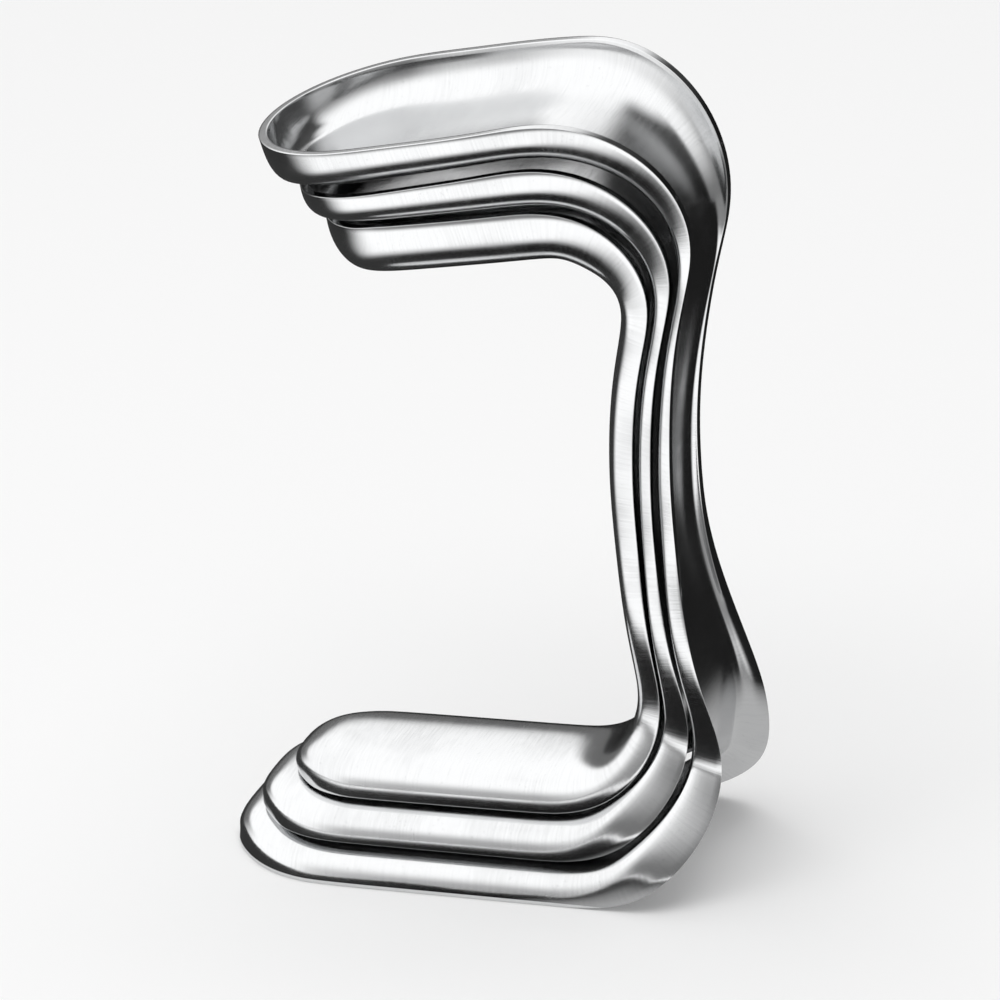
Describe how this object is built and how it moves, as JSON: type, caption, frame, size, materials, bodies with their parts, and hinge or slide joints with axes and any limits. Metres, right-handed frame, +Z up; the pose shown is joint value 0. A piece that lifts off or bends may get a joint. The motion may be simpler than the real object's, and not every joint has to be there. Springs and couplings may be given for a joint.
{
  "type": "nest of double-ended sims specula",
  "caption": "Nest of double-ended Sims specula: C-shaped steel gutters with spoon-tipped blades at both ends of a narrow bowed handle, each standing inside the next larger one.",
  "frame": {"origin": "middle of the nest's box on the surface it stands on, under the large speculum's lower rims", "axes": "+Z up, the blades' tips point to -X and the handles' hollow backs to +X, the XZ plane is the plane of symmetry"},
  "size_m": [0.092, 0.0412, 0.1363],
  "materials": {
    "polished_steel": "polished, with fine brush marks across the blades"
  },
  "bodies": {
    "large": {"large_speculum": "polished_steel"},
    "medium": {"medium_speculum": "polished_steel"},
    "small": {"small_speculum": "polished_steel"}
  },
  "joints": [
    {"name": "medium_draws_out", "type": "slide", "parent": "large", "child": "medium", "axis": [0, -1, 0], "range_m": [-0.042, 0.042]},
    {"name": "small_draws_out", "type": "slide", "parent": "medium", "child": "small", "axis": [0, -1, 0], "range_m": [-0.036, 0.036]}
  ]
}
